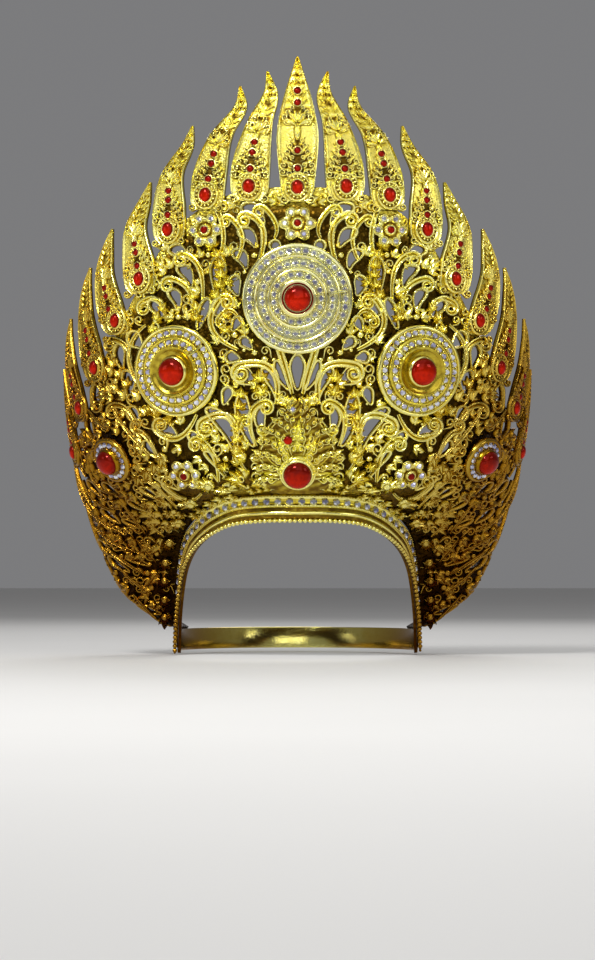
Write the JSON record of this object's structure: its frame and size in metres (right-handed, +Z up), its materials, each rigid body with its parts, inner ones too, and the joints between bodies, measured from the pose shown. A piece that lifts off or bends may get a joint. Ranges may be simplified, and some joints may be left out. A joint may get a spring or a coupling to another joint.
{
  "type": "thai headdress",
  "caption": "Tall pierced gilt crown worn on the brow, with a border of flame leaves, stepped stone medallions, rosettes and an arched headband with temple tails.",
  "frame": {"origin": "middle of the head opening, at the level of the temple tips", "axes": "+Z up, -Y the way the wearer faces, +X the wearer's left"},
  "size_m": [0.3238, 0.2487, 0.3982],
  "materials": {
    "gilt_cast": "bright gilt over cast relief, darker in the recesses",
    "gilt_polished": "polished gilt",
    "ruby_glass": "foil-backed red glass, glossy"
  },
  "bodies": {
    "root": {"wall_front": "gilt_cast", "wall_shoulder_left": "gilt_cast", "wall_shoulder_right": "gilt_cast", "wall_side_left": "gilt_cast", "wall_side_right": "gilt_cast", "flame_0": "gilt_cast", "flame_1_left": "gilt_cast", "flame_1_right": "gilt_cast", "flame_2_left": "gilt_cast", "flame_2_right": "gilt_cast", "flame_3_left": "gilt_cast", "flame_3_right": "gilt_cast", "flame_4_left": "gilt_cast", "flame_4_right": "gilt_cast", "flame_5_left": "gilt_cast", "flame_5_right": "gilt_cast", "flame_6_left": "gilt_cast", "flame_6_right": "gilt_cast", "flame_7_left": "gilt_cast", "flame_7_right": "gilt_cast", "flame_8_left": "gilt_cast", "flame_8_right": "gilt_cast", "rosette_top": "gilt_cast", "rosette_upper_left": "gilt_cast", "rosette_upper_right": "gilt_cast", "rosette_lower_left": "gilt_cast", "rosette_lower_right": "gilt_cast", "front_crest": "gilt_cast", "medallion_centre": "gilt_polished", "medallion_side_left": "gilt_polished", "medallion_side_right": "gilt_polished", "medallion_far_left": "gilt_polished", "medallion_far_right": "gilt_polished", "headband": "gilt_polished", "beaded_edge": "gilt_polished", "back_band": "gilt_polished", "flame_stone_0": "ruby_glass", "flame_stone_1_left": "ruby_glass", "flame_stone_1_right": "ruby_glass", "flame_stone_2_left": "ruby_glass", "flame_stone_2_right": "ruby_glass", "flame_stone_3_left": "ruby_glass", "flame_stone_3_right": "ruby_glass", "flame_stone_4_left": "ruby_glass", "flame_stone_4_right": "ruby_glass", "flame_stone_5_left": "ruby_glass", "flame_stone_5_right": "ruby_glass", "flame_stone_6_left": "ruby_glass", "flame_stone_6_right": "ruby_glass", "flame_stone_7_left": "ruby_glass", "flame_stone_7_right": "ruby_glass", "flame_stone_8_left": "ruby_glass", "flame_stone_8_right": "ruby_glass", "medallion_stone_centre": "ruby_glass", "medallion_stone_side_left": "ruby_glass", "medallion_stone_side_right": "ruby_glass", "medallion_stone_far_left": "ruby_glass", "medallion_stone_far_right": "ruby_glass", "front_stone": "ruby_glass"}
  },
  "joints": []
}
